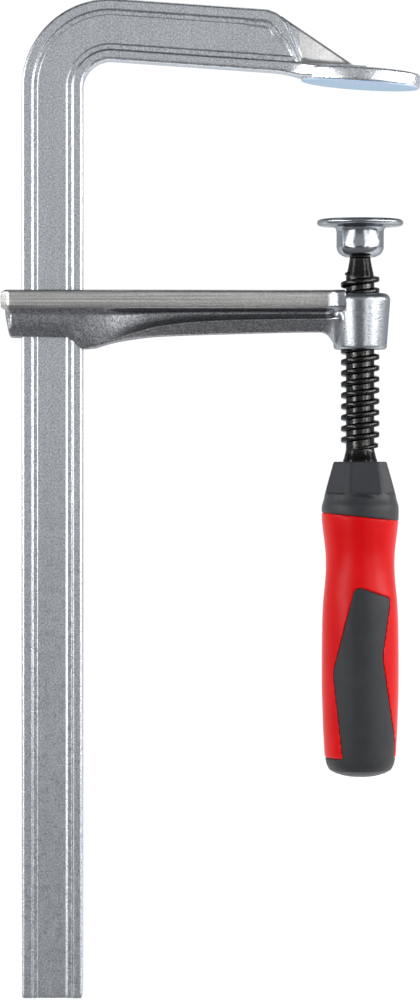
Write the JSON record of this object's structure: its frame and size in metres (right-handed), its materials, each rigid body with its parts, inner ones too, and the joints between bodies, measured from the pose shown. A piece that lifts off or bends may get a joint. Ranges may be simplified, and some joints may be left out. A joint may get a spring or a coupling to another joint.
{
  "type": "f clamp",
  "caption": "All-steel F clamp with a profiled rail forged into a fixed jaw, a sliding arm, a swivelling screw pad and a waisted two-component handle.",
  "frame": {"origin": "centre of the fixed jaw's clamping face, on the spindle's axis", "axes": "+Z along the spindle towards the fixed jaw, +X away from the rail, the clamp lying in the XZ plane"},
  "size_m": [0.1512, 0.034, 0.3599],
  "materials": {
    "zinc_steel": "galvanised, satin with a fine grain",
    "forged_zinc": "galvanised forging, satin and slightly rough",
    "black_oxide": "black oxide with an oily gloss",
    "bright_zinc": "bright galvanised",
    "spring_steel": "plain wire",
    "red_plastic": "semi-gloss moulding",
    "black_plastic": "matt moulding",
    "soft_grip": "soft-touch overmould"
  },
  "bodies": {
    "rail": {"rail": "zinc_steel"},
    "arm": {"sliding_arm": "forged_zinc"},
    "pad_carrier": {"pad_snap_ring": "spring_steel"},
    "spindle": {"spindle": "black_oxide", "handle_core": "red_plastic", "handle_collar": "black_plastic", "handle_grip": "soft_grip"},
    "pad": {"pressure_plate": "bright_zinc"}
  },
  "joints": [
    {"name": "arm_slide", "type": "slide", "parent": "rail", "child": "arm", "axis": [0, 0, 1], "range_m": [-0.232, 0.004]},
    {"name": "spindle_advance", "type": "slide", "parent": "arm", "child": "pad_carrier", "axis": [0, 0, 1], "range_m": [-0.0101, 0.0401]},
    {"name": "spindle_turn", "type": "hinge", "parent": "pad_carrier", "child": "spindle", "pos_m": [0, 0, 0], "axis": [0, 0, 1], "range_deg": [-900, 3600]},
    {"name": "pad_tilt", "type": "hinge", "parent": "pad_carrier", "child": "pad", "pos_m": [0, 0, -0.05625], "axis": [0, 1, 0], "range_deg": [-8, 8]}
  ],
  "couplings": [
    {"joint": "spindle_advance", "follows": "spindle_turn", "m_per_rad": 0.00063662}
  ]
}
